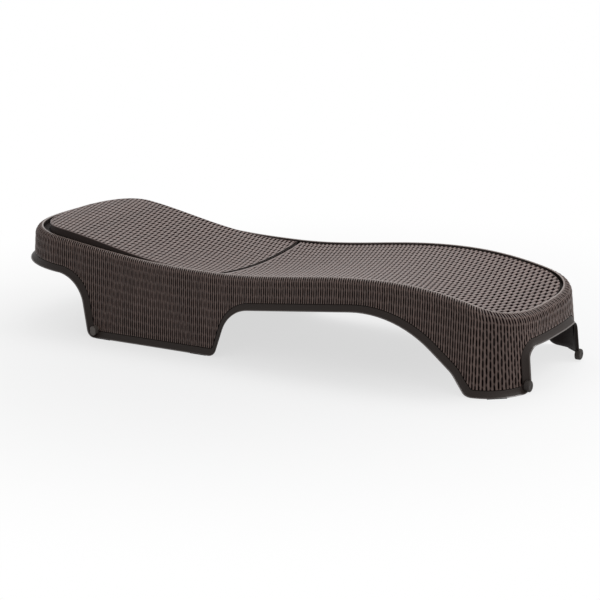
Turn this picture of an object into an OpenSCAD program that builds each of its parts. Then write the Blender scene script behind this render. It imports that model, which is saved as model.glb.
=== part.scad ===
// Low wave-shaped lounger: a moulded wicker-effect body on two pairs of legs,
// an inset seat deck, and a backrest that hinges up on a prop and racks.
// +X points to the foot end, +Z is up, the origin is on the floor at mid length.

/* [Overall] */
// Length over the head and foot lips
length = 1914; // [1860:2:1980]
// Width over the side lips at the floor
width = 632; // [600:2:660]

/* [Rim line] */
// Height of the rim at the head end
head_rim_z = 336; // [325:1:345]
// Height of the rim in the hollow of the seat
hollow_rim_z = 262; // [256:1:268]
// Height of the rim at the crest under the knees
crest_rim_z = 306; // [298:1:312]
// Height of the rim at the foot end
foot_rim_z = 231; // [225:1:245]
// Place of the hollow along the length, as a share of half the length
hollow_share = -0.118; // [-0.13:0.002:-0.11]
// Place of the crest along the length, as a share of half the length
crest_share = 0.514; // [0.49:0.002:0.53]

/* [Body shell] */
// Wall thickness of the moulded body
wall = 4; // [3:0.5:5]
// Outward reach of the rounded shoulder under the rim
shoulder_out = 25.6; // [20:0.2:28]
// Drop of the rounded shoulder under the rim
shoulder_drop = 32; // [28:1:36]
// Outward lean of the skirt per millimetre of drop
draft = 0.085; // [0.05:0.005:0.1]
// Height of the smooth lip band along every lower edge
lip_band = 22; // [18:1:26]
// Outward flare of the lip
lip_flare = 13; // [8:1:15]
// Depth in plan of the rounded head end
head_round = 202; // [180:2:230]
// Depth in plan of the rounded foot end
foot_round = 127; // [120:1:150]

/* [Legs and arches] */
// Height of the head lip above the floor
head_lip_z = 226; // [218:1:232]
// Head edge of the head legs, as a share of half the length
head_leg_a = -0.618; // [-0.63:0.002:-0.60]
// Foot edge of the head legs, as a share of half the length
head_leg_b = -0.097; // [-0.105:0.001:-0.09]
// Head edge of the foot legs, as a share of half the length
foot_leg_a = 0.833; // [0.82:0.001:0.84]
// Height of the side arch where it leaves the head legs
arch_low_z = 156; // [148:1:162]
// Height of the side arch under the crest
arch_high_z = 223; // [212:1:228]
// Width of each foot leg seen from the foot end, at the rim line
foot_leg_w = 95; // [85:1:110]
// Height of the arch in the foot end wall
end_arch_z = 134; // [122:1:142]
// Radius of the lower corners of the legs
leg_corner = 30; // [28:1:36]

/* [Panels] */
// Depth of the seat deck below the rim
deck_inset = 5.5; // [4:0.5:8]
// Sheet thickness of the seat deck and the backrest
sheet = 4; // [3:0.5:5]
// Hollow across the panels at the seam
dish = 20; // [12:1:22]
// Height of the backrest top at its head edge
back_top_z = 351; // [345:1:360]
// Gap between the backrest and the rim on each side
back_gap = 3.8; // [3.5:0.1:8]
// Place of the seam between backrest and seat
seam_x = -113; // [-120:1:-106]
// Gap at the seam
seam_gap = 8.5; // [8:0.5:12]
// Depth of the stiffening ribs under the panels
rib_deep = 14; // [10:1:15]

/* [Back adjustment] */
// Distance from the back hinge to the prop pivot
prop_from_hinge = 285; // [280:1:290]
// Length of the prop from its pivot to its foot bar
prop_len = 315; // [310:1:320]
// Diameter of the prop foot bar
bar_d = 12; // [10:1:14]
// Number of notches in each rack
notches = 4; // [3:1:5]
// Height of the rack tops
rack_top_z = 170; // [164:1:171]

/* [Hidden] */
eps = 0.05;
over = 1;
run_gap = 0.3;
half_len = length/2;
end_draft = draft*(foot_rim_z - shoulder_drop - end_arch_z);
reach = half_len - shoulder_out - lip_flare - end_draft;
side_draft = draft*(hollow_rim_z - shoulder_drop);
rim_half = width/2 - shoulder_out - lip_flare - side_draft;
hollow_x = hollow_share*half_len;
crest_x = crest_share*half_len;
head_power = 2.41;
foot_power = 2.73;
rim_wall = 3;
back_half = rim_half - rim_wall - back_gap;
end_arch_half = rim_half - foot_leg_w;
ledge_in = 22;
ledge_drop = 16;
ledge_t = 4;
ledge_under = ledge_drop + ledge_t;
glide_h = 2;
head_x1 = head_round - reach;
foot_x0 = reach - foot_round;

// Height of the rim line along the length
head_bend = 1.26;
head_sweep = 80.2;
foot_bend = 2.13;
function wave(t) = pow(sin(90*t), 2);
function rim_z(x) =
    x < hollow_x ?
        hollow_rim_z + (head_rim_z - hollow_rim_z)
        *pow(sin(head_sweep*pow((hollow_x - x)/(hollow_x + reach), head_bend)), 2)
    : x < crest_x ?
        hollow_rim_z + (crest_rim_z - hollow_rim_z)*wave((x - hollow_x)/(crest_x - hollow_x))
    : crest_rim_z - (crest_rim_z - foot_rim_z)*pow((x - crest_x)/(reach - crest_x), foot_bend);
step_x = 2;
function rim_slope(x) = atan((rim_z(x + step_x) - rim_z(x - step_x))/(2*step_x));

// Plan points of the rounded ends: angle 0 is the apex and 90 the straight side
function round_end(f, deep, half, p) = [deep*(1 - pow(cos(f), 2/p)), half*pow(sin(f), 2/p)];
function round_dir(f, deep, half, p) =
    let (v = [pow(cos(f), 2 - 2/p)/deep, pow(sin(f), 2 - 2/p)/half]) v/norm(v);
function foot_angle(y) = asin(pow(abs(y)/rim_half, foot_power/2));

// A path of straight runs with rounded corners, as [a, z, direction]
function dir_of(p, q) = atan2(q[1] - p[1], q[0] - p[0]);
function corner_pts(p, v, q, n) =
    let (a1 = dir_of(p, v), a2 = dir_of(v, q), s = sign(a2 - a1), r = v[2],
         back = r*tan(abs(a2 - a1)/2),
         start = [v[0] - back*cos(a1), v[1] - back*sin(a1)],
         c = [start[0] - s*r*sin(a1), start[1] + s*r*cos(a1)])
    [for (k = [0:n]) let (a = a1 + (a2 - a1)*k/n)
        [c[0] + s*r*sin(a), c[1] - s*r*cos(a), a]];
function run_pts(p, q, longest) =
    let (n = max(1, ceil(norm([q[0] - p[0], q[1] - p[1]])/longest)))
    [for (k = [1:1:n - 1]) [p[0] + (q[0] - p[0])*k/n, p[1] + (q[1] - p[1])*k/n, dir_of(p, q)]];
function rounded_path(v, n, longest) =
    let (last = len(v) - 1,
         bends = [for (i = [1:last - 1]) corner_pts(v[i - 1], v[i], v[i + 1], n)],
         first = [[v[0][0], v[0][1], dir_of(v[0], v[1])]],
         end = [[v[last][0], v[last][1], dir_of(v[last - 1], v[last])]],
         stops = concat([first], bends, [end]))
    [for (i = [0:len(stops) - 1])
        for (pt = concat(stops[i],
            i < len(stops) - 1 ? run_pts(stops[i][len(stops[i]) - 1], stops[i + 1][0], longest) : []))
        pt];

// Lower edge of the skirt along a side and across the foot end
leg_floor = glide_h;
head_lip_sink = 23;
head_arch_z = 186;
head_arch_r = 118;
knee_r = 110;
crest_r = 380;
shin_r = 100;
end_arch_r = 34;
leg_lean_a = 39;
leg_lean_b = 51;
side_rise_share = 0.581;
shin_lean = 47;
shin_z = 66;
turn_in = 45;
end_run = 1.5*leg_corner;
leg_a = head_leg_a*half_len;
leg_b = head_leg_b*half_len;
leg_c = foot_leg_a*half_len;
side_rise_x = side_rise_share*half_len;
shin_x = leg_c - shin_lean;
side_verts = [
    [head_x1, head_lip_z - head_lip_sink],
    [leg_a - leg_lean_a, head_arch_z, head_arch_r],
    [leg_a, leg_floor, leg_corner],
    [leg_b, leg_floor, leg_corner],
    [leg_b + leg_lean_b, arch_low_z, knee_r],
    [side_rise_x, arch_high_z, crest_r],
    [shin_x, shin_z, shin_r],
    [leg_c, leg_floor, leg_corner],
    [foot_x0 + turn_in, leg_floor]];
end_verts = [
    [-end_arch_half - end_run, leg_floor],
    [-end_arch_half, leg_floor, leg_corner],
    [-end_arch_half, end_arch_z, end_arch_r],
    [0, end_arch_z]];
bend_steps = 6;
longest_run = 62;
side_path = rounded_path(side_verts, bend_steps, longest_run);
end_path = rounded_path(end_verts, bend_steps, longest_run);

// A station holds the plan point and normal under the rim, then the same and a height at the
// lower edge, in the middle of the lip band and at the top of the band
mid_share = 0.45;
spread_side = 0.06;
spread_end = 0.15;
function side_angle(x) = acos(pow((x - foot_x0)/foot_round, foot_power/2));
function side_at(x) = x <= foot_x0 ? [[x, -rim_half], [0, -1]] : foot_turn(side_angle(x));
function foot_turn(f) =
    let (e = round_end(f, foot_round, rim_half, foot_power),
         d = round_dir(f, foot_round, rim_half, foot_power))
    [[reach - e[0], -e[1]], [d[0], -d[1]]];
function foot_at(y) = foot_turn(foot_angle(y));
function head_at(f) =
    let (e = round_end(f, head_round, rim_half, head_power),
         d = round_dir(f, head_round, rim_half, head_power))
    [[e[0] - reach, -e[1]], [-d[0], -d[1]]];
function station(up, b, bz, m, mz, t, tz) = [up, b, bz, m, mz, t, tz];
head_steps = 13;
foot_steps = 8;
head_stations = [for (k = [0:head_steps - 1])
    let (f = 90*k/head_steps, at = head_at(f),
         z = head_lip_z - head_lip_sink*pow(k/head_steps, 2))
    station(at, at, z, at, z + mid_share*lip_band, at, z + lip_band)];
n_side = len(side_path);
side_stations = [for (i = [0:n_side - 1])
    let (p = side_path[i], nx = -sin(p[2]), nz = cos(p[2]),
         even = head_x1 + (foot_x0 + turn_in - head_x1)*i/(n_side - 1),
         up = p[0]*(1 - spread_side) + even*spread_side)
    station(side_at(up), side_at(p[0]), p[1],
        side_at(p[0] + mid_share*lip_band*nx), p[1] + mid_share*lip_band*nz,
        side_at(p[0] + lip_band*nx), p[1] + lip_band*nz)];
turn_from = side_angle(foot_x0 + turn_in);
turn_to = foot_angle(end_arch_half + end_run);
foot_stations = [for (k = [1:foot_steps - 1])
    let (at = foot_turn(turn_from + (turn_to - turn_from)*k/foot_steps))
    station(at, at, leg_floor, at, leg_floor + mid_share*lip_band, at, leg_floor + lip_band)];
n_end = len(end_path);
end_start = end_verts[0][0];
end_stations = [for (i = [0:n_end - 1])
    let (p = end_path[i], nx = -sin(p[2]), nz = cos(p[2]),
         even = end_start*(1 - i/(n_end - 1)),
         up = p[0]*(1 - spread_end) + even*spread_end)
    station(foot_at(min(0, up)), foot_at(min(0, p[0])), p[1],
        foot_at(min(0, p[0] + mid_share*lip_band*nx)), p[1] + mid_share*lip_band*nz,
        foot_at(min(0, p[0] + lip_band*nx)), p[1] + lip_band*nz)];
near_half = concat(head_stations, side_stations, foot_stations, end_stations);

function out(at, o, z) = [at[0][0] + at[1][0]*o, at[0][1] + at[1][1]*o, z];
function skirt_out(z, top) = shoulder_out + draft*max(0, top - shoulder_drop - z);
shoulder_steps = 5;
flare_share = 0.25;
// Inner face of the shoulder, as shares of its reach and drop, and the root of the ledge in it
inner_shoulder_shares = [[0.6, 0.44], [0.24, 0.14]];
ledge_root_share = 0.3;
// One closed section of the body wall, from the rim down the outside and back up the inside
function body_section(s) =
    let (up = s[0], top = rim_z(up[0][0]),
         ob = skirt_out(s[2], top), om = skirt_out(s[4], top), ot = skirt_out(s[6], top))
    concat(
        [out(up, -rim_wall, top), out(up, 0, top)],
        [for (k = [1:shoulder_steps]) let (a = 90*k/shoulder_steps)
            out(up, shoulder_out*sin(a), top - shoulder_drop*(1 - cos(a)))],
        [out(s[5], ot, s[6]),
         out(s[3], om + flare_share*lip_flare, s[4]),
         out(s[1], ob + lip_flare, s[2]),
         out(s[1], ob + lip_flare - wall, s[2]),
         out(s[3], om + flare_share*lip_flare - wall, s[4]),
         out(s[5], ot - wall, s[6]),
         out(up, shoulder_out - wall, top - shoulder_drop),
         for (share = inner_shoulder_shares)
             out(up, shoulder_out*share[0], top - shoulder_drop*share[1]),
         out(up, rim_wall*ledge_root_share, top - shoulder_drop*inner_shoulder_shares[1][1]),
         out(up, rim_wall*ledge_root_share, top - ledge_under),
         out(up, -ledge_in, top - ledge_under),
         out(up, -ledge_in, top - ledge_drop),
         out(up, -rim_wall, top - ledge_drop)]);
function mirrored(sec) = [for (p = sec) [p[0], -p[1], p[2]]];

// Flat end of a panel section: the ribs, the two flanges and the sheet between them
top_steps = 12;
rib_at = top_steps + 4;
rib_count = 5;
left_at = rib_at + 4*rib_count;
under = concat([left_at],
    [for (i = [rib_count - 1:-1:0]) each [rib_at + 4*i + 3, rib_at + 4*i]], [rib_at - 1]);
cap_faces = concat(
    [for (i = [0:rib_count - 1]) [for (j = [0:3]) rib_at + 4*i + j]],
    [[top_steps, top_steps + 1, top_steps + 2, rib_at - 1], [left_at, left_at + 1, left_at + 2, 0]],
    [for (i = [0:top_steps - 2]) each [[i, i + 1, under[i + 1]], [i, under[i + 1], under[i]]]],
    [[top_steps - 1, top_steps, under[top_steps - 1]]]);

// A closed ring of sections, and an open row of sections with flat ends
module ring_of(sections) {
    m = len(sections[0]);
    n = len(sections);
    polyhedron([for (s = sections) for (p = s) p],
        [for (i = [0:n - 1]) for (j = [0:m - 1])
            let (a = i*m + j, b = i*m + (j + 1)%m, c = ((i + 1)%n)*m + (j + 1)%m,
                 d = ((i + 1)%n)*m + j)
            each [[a, b, c], [a, c, d]]]);
}
module row_of(sections) {
    m = len(sections[0]);
    n = len(sections);
    polyhedron([for (s = sections) for (p = s) p],
        concat(cap_faces, [for (f = cap_faces) [for (j = [len(f) - 1:-1:0]) (n - 1)*m + f[j]]],
            [for (i = [0:n - 2]) for (j = [0:m - 1])
                let (a = i*m + j, b = i*m + (j + 1)%m, c = (i + 1)*m + (j + 1)%m,
                     d = (i + 1)*m + j)
                each [[a, c, b], [a, d, c]]]));
}

module body_shell() {
    color("#3b2a26") {
        near = [for (s = near_half) body_section(s)];
        far = [for (i = [len(near) - 2:-1:1]) mirrored(near[i])];
        ring_of(concat(near, far));
    }
}

// Panel tops
deck_start = seam_x + seam_gap/2;
back_end = seam_x - seam_gap/2;
deck_gap = 3;
deck_seat_gap = 0.8;
foot_groove = 11;
deck_half = rim_half - rim_wall - deck_gap;
deck_reach = reach - foot_groove;
deck_dish_end = 8;
back_dish_end = 0;
back_round = 140;
back_power = 2.4;
back_end_gap = 49;
back_reach = reach - back_end_gap;
back_bend = 1.18;
back_low_z = hollow_rim_z - deck_inset;
function deck_edge_z(x) = rim_z(x) - deck_inset;
function deck_dish(x) = dish + (deck_dish_end - dish)*(x - deck_start)/(deck_reach - deck_start);
function back_share(x) = max(0, (back_end - x)/(back_end + back_reach));
function back_edge_z(x) = back_low_z + (back_top_z - back_low_z)*wave(pow(back_share(x), back_bend));
function back_dish(x) = dish + (back_dish_end - dish)*back_share(x);
function across(y, half) = 1 - pow(y/half, 2);
function back_z(x, y) = back_edge_z(x) - back_dish(x)*across(y, back_half);
function deck_z(x, y) = deck_edge_z(x) - deck_dish(x)*across(y, deck_half);
function back_slope(x) = atan((back_edge_z(x + step_x) - back_edge_z(x - step_x))/(2*step_x));

// Section of a ribbed panel: the dished top, an edge flange and five ribs
flange_t = 4;
rib_t = 4;
rib_shares = [-0.72, -0.36, 0, 0.36, 0.72];
function panel_section(x, w, full, edge_z, sag, flange, ribs) =
    let (top = function (y) edge_z - sag*across(y, full),
         foot = edge_z - flange)
    concat(
        [for (k = [0:top_steps]) let (y = w*(2*k/top_steps - 1)) [x, y, top(y)]],
        [[x, w, foot], [x, w - flange_t, foot], [x, w - flange_t, top(w - flange_t) - sheet]],
        [for (i = [rib_count - 1:-1:0]) let (y = rib_shares[i]*w, h = top(y) - sheet)
            each [[x, y + rib_t/2, h], [x, y + rib_t/2, h - ribs],
                  [x, y - rib_t/2, h - ribs], [x, y - rib_t/2, h]]],
        [[x, flange_t - w, top(w - flange_t) - sheet], [x, flange_t - w, foot], [x, -w, foot]]);

deck_runs = 18;
deck_turns = 9;
deck_last = 13;
deck_straight = deck_reach - foot_round;
deck_flange = ledge_drop - deck_inset - deck_seat_gap;
rib_stub = 1;
rib_end_gap = 2;
rib_run_share = 1.2;
function deck_ribs(x) = max(rib_stub, min(rib_deep, rib_run_share*(reach - ledge_in - rib_end_gap - x)));
function deck_row(x, w) =
    panel_section(x, w, deck_half, deck_edge_z(x), deck_dish(x), deck_flange, deck_ribs(x));
module seat_deck() {
    color("#4a3733") row_of(concat(
        [for (k = [0:deck_runs]) deck_row(deck_start + (deck_straight - deck_start)*k/deck_runs, deck_half)],
        [for (k = [1:deck_turns]) let (f = 90 + (deck_last - 90)*k/deck_turns,
            e = round_end(f, foot_round, deck_half, foot_power)) deck_row(deck_reach - e[0], e[1])]));
}

// Back panel: its flange deepens with the wedge that opens between the panel and the ledge
back_rest_gap = 9;
back_flange_end = 6.5;
function back_flange(x) =
    max(back_flange_end, back_edge_z(x) - rim_z(x) + ledge_drop - back_rest_gap);
function back_foot_z(x) = back_edge_z(x) - back_flange(x);
function back_foot_slope(x) =
    atan((back_foot_z(x + step_x) - back_foot_z(x - step_x))/(2*step_x));
back_runs = 15;
back_turns = 8;
back_last = 13;
back_straight = back_round - back_reach;
function back_row(x, w) =
    panel_section(x, w, back_half, back_edge_z(x), back_dish(x), back_flange(x), rib_deep);
module back_panel() {
    color("#4a3733") row_of(concat(
        [for (k = [0:back_turns - 1]) let (f = back_last + (90 - back_last)*k/back_turns,
            e = round_end(f, back_round, back_half, back_power)) back_row(e[0] - back_reach, e[1])],
        [for (k = [0:back_runs])
            back_row(back_straight + (back_end - back_straight)*k/back_runs, back_half)]));
}

facets = 32;
module rod_y(r, y0, y1) translate([0, y0, 0]) rotate([-90, 0, 0]) cylinder(r = r, h = y1 - y0, $fn = facets);
module block(x0, x1, y0, y1, z0, z1) translate([x0, y0, z0]) cube([x1 - x0, y1 - y0, z1 - z0]);
module on_side(side) { if (side < 0) children(); else mirror([0, 1, 0]) children(); }

// Hinge: knuckles under the panel turn with their pins in ears that stand on the seam beam
hinge_back = 2;
hinge_x = back_end - hinge_back;
ear_gap = 0.4;
ear_out = rim_half - ledge_in - ear_gap;
ear_w = 6;
ear_in = ear_out - ear_w;
ear_r = 3.8;
knuckle_gap = 0.5;
knuckle_w = 7;
knuckle_out = ear_in - knuckle_gap;
knuckle_in = knuckle_out - knuckle_w;
knuckle_r = 4.2;
knuckle_len = 44;
knuckle_deep = 10;
knuckle_top = back_z(back_end, knuckle_in) - sheet - run_gap;
hinge_cover = 2.83;
hinge_z = knuckle_top - hinge_cover;
pin_r = 2;
pin_proud = 1;
tongue_w = 16;
tongue_in = knuckle_in - tongue_w;
tongue_top = back_z(hinge_x - knuckle_len, tongue_in) - sheet - run_gap;
module knuckle(side) {
    on_side(side) color("#33231f") difference() {
        union() {
            block(hinge_x - knuckle_len, hinge_x, -knuckle_out, -knuckle_in,
                knuckle_top - knuckle_deep, knuckle_top);
            translate([hinge_x, 0, hinge_z]) rod_y(knuckle_r, -knuckle_out, -knuckle_in);
            block(hinge_x - knuckle_len, hinge_x - knuckle_r, -knuckle_out, -tongue_in,
                tongue_top - sheet, tongue_top);
        }
        translate([hinge_x, 0, hinge_z]) rod_y(pin_r, -knuckle_out - over, -knuckle_in + over);
        block(hinge_x - knuckle_r - over, hinge_x + knuckle_r + over,
            -knuckle_out - over, -knuckle_in + over, knuckle_top, knuckle_top + knuckle_r);
    }
}
module knuckle_near() knuckle(-1);
module knuckle_far() knuckle(1);

module hinge_pin(side) on_side(side) color("#b9bcbf")
    translate([hinge_x, 0, hinge_z]) rod_y(pin_r, -ear_out, -knuckle_in + pin_proud);
module hinge_pin_near() hinge_pin(-1);
module hinge_pin_far() hinge_pin(1);

// Bearing ears on the seam beam
bearing_play = 0.06;
ear_foot_len = 24;
ear_foot_w = 22;
ear_foot_in = ear_in - ear_foot_w;
ear_foot_t = 4;
beam_drop = 46;
beam_low = 78;
ear_base = rim_z(hinge_x) - beam_drop;
module bearing(side) on_side(side) color("#1d1b1b") difference() {
    union() {
        block(hinge_x - ear_r, hinge_x + ear_r, -ear_out, -ear_in, ear_base, hinge_z);
        translate([hinge_x, 0, hinge_z]) rod_y(ear_r, -ear_out, -ear_in);
        block(hinge_x - ear_foot_len/2, hinge_x + ear_foot_len/2, -ear_out, -ear_foot_in,
            ear_base, ear_base + ear_foot_t);
    }
    translate([hinge_x, 0, hinge_z]) rod_y(pin_r + bearing_play, -ear_out - over, -ear_in + over);
}
module bearing_near() bearing(-1);
module bearing_far() bearing(1);

// A countersunk screw pointing along -Z from its head at z = 0
screw_r = 1.6;
screw_head_r = 3;
screw_head_h = 1.6;
module screw(len) {
    cylinder(r = screw_head_r, h = screw_head_h, $fn = facets);
    translate([0, 0, -len]) cylinder(r = screw_r, h = len + eps, $fn = facets);
}
screw_edge = 8;
bearing_screw_len = 9;
module bearing_screws() color("#8f9194") for (side = [-1, 1], end = [-1, 1])
    translate([hinge_x + end*ear_foot_len/3, side*(ear_foot_in + screw_edge), ear_base + ear_foot_t])
    screw(bearing_screw_len);
knuckle_screw_len = 7;
knuckle_screw_shares = [0.35, 0.8];
module knuckle_screws() color("#8f9194") for (side = [-1, 1], share = knuckle_screw_shares)
    translate([hinge_x - share*knuckle_len, side*(tongue_in + screw_edge), tongue_top - sheet])
    rotate([180, 0, 0]) screw(knuckle_screw_len);

// Cross beams under the ledge
beam_web = 5;
beam_flange = 24;
beam_out = 8;
beam_end = rim_half + beam_out;
beam_pad = 26;
pad_t = 4;
beam_gap = 0.3;
beam_top = -ledge_under - beam_gap;
module beam_shape() polygon([
    [-beam_end, beam_top], [-beam_end + beam_pad, beam_top],
    [-beam_end + beam_pad, -beam_drop], [beam_end - beam_pad, -beam_drop],
    [beam_end - beam_pad, beam_top], [beam_end, beam_top],
    [beam_end, beam_top - 2*pad_t], [beam_end - 2*beam_pad, -beam_low],
    [2*beam_pad - beam_end, -beam_low], [-beam_end, beam_top - 2*pad_t]]);
hole_r = 9;
hole_pitch = 58;
module yz_plate(t) translate([-t/2, 0, 0]) rotate([90, 0, 90]) linear_extrude(height = t) children();
module shallow_beam(x) {
    color("#2b2220") translate([x, 0, rim_z(x)]) rotate([0, -rim_slope(x), 0]) {
        difference() {
            yz_plate(beam_web) beam_shape();
            for (k = [-3:3]) translate([-beam_web, k*hole_pitch, -(beam_drop + beam_low)/2])
                rotate([0, 90, 0]) cylinder(r = hole_r, h = 2*beam_web, $fn = facets);
        }
        for (side = [-1, 1])
            block(-beam_flange/2, beam_flange/2, side*(beam_end - beam_pad/2) - beam_pad/2,
                side*(beam_end - beam_pad/2) + beam_pad/2, beam_top - pad_t, beam_top);
        block(-beam_flange/2, beam_flange/2, beam_pad - beam_end, beam_end - beam_pad,
            -beam_drop - pad_t, -beam_drop);
    }
}
beam_seam_x = hinge_x;
beam_seat_share = 0.193;
beam_seat_x = beam_seat_share*half_len;
beam_crest_x = crest_x;
beam_foot_share = 0.731;
beam_foot_x = beam_foot_share*half_len;
module beam_seam() shallow_beam(beam_seam_x);
module beam_seat() shallow_beam(beam_seat_x);
module beam_crest() shallow_beam(beam_crest_x);
module beam_foot() shallow_beam(beam_foot_x);

// Deep beams that carry the racks and the bumpers
side_play = 3;
deep_in = rim_half - ledge_in + side_play;
deep_low = 150;
rack_proud = 1;
deep_mid = rack_top_z - rack_proud;
small_hole_share = 0.7;
beam_head_out = 31;
beam_head_x = leg_a - beam_head_out;
beam_mid_share = -0.35;
beam_mid_x = beam_mid_share*half_len;
function deep_top(x) = rim_z(x) + beam_top - beam_flange/2*abs(tan(rim_slope(x)));
module deep_beam(x) color("#2b2220") {
    top = deep_top(x);
    difference() {
        translate([x, 0, 0]) yz_plate(beam_web) polygon([
            [-beam_end, top], [-deep_in, top], [-deep_in, deep_mid], [deep_in, deep_mid],
            [deep_in, top], [beam_end, top], [beam_end - pad_t, deep_low], [pad_t - beam_end, deep_low]]);
        for (k = [-3:3]) translate([x - beam_web, k*hole_pitch, (deep_mid + deep_low)/2])
            rotate([0, 90, 0]) cylinder(r = small_hole_share*hole_r, h = 2*beam_web, $fn = facets);
    }
    for (side = [-1, 1]) {
        inner = side > 0 ? deep_in : -beam_end;
        block(x - beam_flange/2, x + beam_flange/2, inner, inner + beam_end - deep_in, top - pad_t, top);
    }
}
module beam_head() deep_beam(beam_head_x);
module beam_mid() deep_beam(beam_mid_x);
bumper_r = 4.5;
bumper_gap = 1;
bumper_y = rim_half - rim_wall - bumper_r - bumper_gap;
bumper_sunk = 0.5;
bumper_shares = [0.7, 0.446];
bumper_xs = [for (share = bumper_shares) back_end - share*(back_end + back_reach)];
module bumpers() color("#121212") for (x = bumper_xs, side = [-1, 1]) {
    seat = rim_z(x) - ledge_drop - bumper_sunk;
    dome = back_foot_z(x) - run_gap - bumper_r/cos(back_foot_slope(x));
    translate([x, side*bumper_y, seat]) cylinder(r = bumper_r, h = dome - seat, $fn = facets);
    translate([x, side*bumper_y, dome]) sphere(r = bumper_r, $fn = facets);
}

// Prop, its brackets and the racks
prop_x = hinge_x - prop_from_hinge;
prop_share = 0.578;
prop_half = prop_share*back_half;
leg_r = 5;
stay_r = 4;
eye_r = 7;
eye_w = 12;
lug_t = 5;
lug_gap = 1;
lug_y = prop_half + eye_w/2 + lug_gap;
lug_r = 8;
lug_neck = 6.8;
lug_base = 20;
lug_seat_gap = 1;
lug_top = back_z(prop_x, lug_y) - sheet - lug_seat_gap;
pivot_drop = 9.1;
prop_z = lug_top - pivot_drop;
prop_dir = 178;
foot_x = prop_x + prop_len*cos(prop_dir);
foot_z = prop_z + prop_len*sin(prop_dir);
prop_pin_r = 4;
bar_in = 28;
bar_half = rim_half - ledge_in - bar_in;
stay_share = 0.72;
module prop_frame() color("#9a9da0") {
    difference() {
        union() {
            for (side = [-1, 1]) {
                translate([prop_x, side*prop_half, prop_z]) rod_y(eye_r, -eye_w/2, eye_w/2);
                translate([prop_x, side*prop_half, prop_z]) rotate([0, -90 + (180 - prop_dir), 0])
                    cylinder(r = leg_r, h = prop_len, $fn = facets);
            }
            translate([foot_x, 0, foot_z]) rod_y(bar_d/2, -bar_half, bar_half);
            translate([prop_x + stay_share*(foot_x - prop_x), 0, prop_z + stay_share*(foot_z - prop_z)])
                rod_y(stay_r, -prop_half, prop_half);
        }
        for (side = [-1, 1]) translate([prop_x, side*prop_half, prop_z])
            rod_y(prop_pin_r + bearing_play, -eye_w, eye_w);
    }
}
eye_gap = 0.7;
eye_relief_in = 0.5;
lug_inset = 0.5;
lug_turn = back_slope(prop_x);
pivot_in = pivot_drop*sin(lug_turn);
pivot_deep = pivot_drop*cos(lug_turn);
module prop_lug(side) on_side(side) color("#33231f") difference() {
    union() {
        translate([prop_x, 0, prop_z]) rod_y(lug_r, -lug_y - lug_t, -lug_y);
        translate([prop_x, 0, lug_top]) rotate([0, -lug_turn, 0]) {
            block(-pivot_in - lug_neck, lug_neck - pivot_in,
                -lug_y - lug_t + lug_inset, -lug_y - lug_inset, -pivot_deep, -pad_t/2);
            block(-lug_base, lug_base, -lug_y - lug_t - lug_inset, -lug_y + lug_t, -pad_t, -eps);
        }
    }
    translate([prop_x, 0, prop_z]) rod_y(prop_pin_r, -lug_y - 2*lug_t, -lug_y + 2*lug_t);
    translate([prop_x, 0, prop_z]) rod_y(eye_r + eye_gap, -lug_y + eye_relief_in, -lug_y + 2*lug_t);
}
module prop_lug_near() prop_lug(-1);
module prop_lug_far() prop_lug(1);
module prop_pins() color("#b9bcbf") for (side = [-1, 1]) on_side(side)
    translate([prop_x, 0, prop_z])
    rod_y(prop_pin_r, -lug_y - lug_t - pin_proud, eye_w/2 - prop_half + pin_proud);
lug_screw_in = 5;
lug_screw_x = lug_base - lug_screw_in;
lug_screw_len = 7;
module lug_screws() color("#8f9194") for (side = [-1, 1], end = [-1, 1])
    translate([prop_x, side*lug_y, lug_top]) rotate([0, -back_slope(prop_x), 0])
    translate([end*lug_screw_x, 0, -pad_t]) rotate([180, 0, 0]) screw(lug_screw_len);

rack_in = 18;
rack_y = bar_half - rack_in;
rack_t = 12;
rack_deep = 20;
rack_start = beam_head_x + beam_web/2 + eps;
rack_end = beam_mid_x - beam_web/2 - eps;
notch_gap = 1;
notch_r = bar_d/2 + notch_gap;
notch_first_share = 0.052;
notch_last_share = 0.734;
module rack(side) on_side(side) color("#2b2220")
    difference() {
        block(rack_start, rack_end, -rack_y - rack_t/2, -rack_y + rack_t/2,
            rack_top_z - rack_deep, rack_top_z);
        for (k = [0:notches - 1])
            translate([rack_start + (rack_end - rack_start)*(notch_first_share
                + (notch_last_share - notch_first_share)*k/(notches - 1)), 0, rack_top_z])
            rod_y(notch_r, -rack_y - rack_t, -rack_y + rack_t);
    }
module rack_near() rack(-1);
module rack_far() rack(1);
rack_screw_len = 14;
module rack_screws() color("#8f9194") for (side = [-1, 1]) {
    translate([beam_head_x - beam_web/2, side*rack_y, rack_top_z - rack_deep/2])
        rotate([0, -90, 0]) screw(rack_screw_len);
    translate([beam_mid_x + beam_web/2, side*rack_y, rack_top_z - rack_deep/2])
        rotate([0, 90, 0]) screw(rack_screw_len);
}

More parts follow.
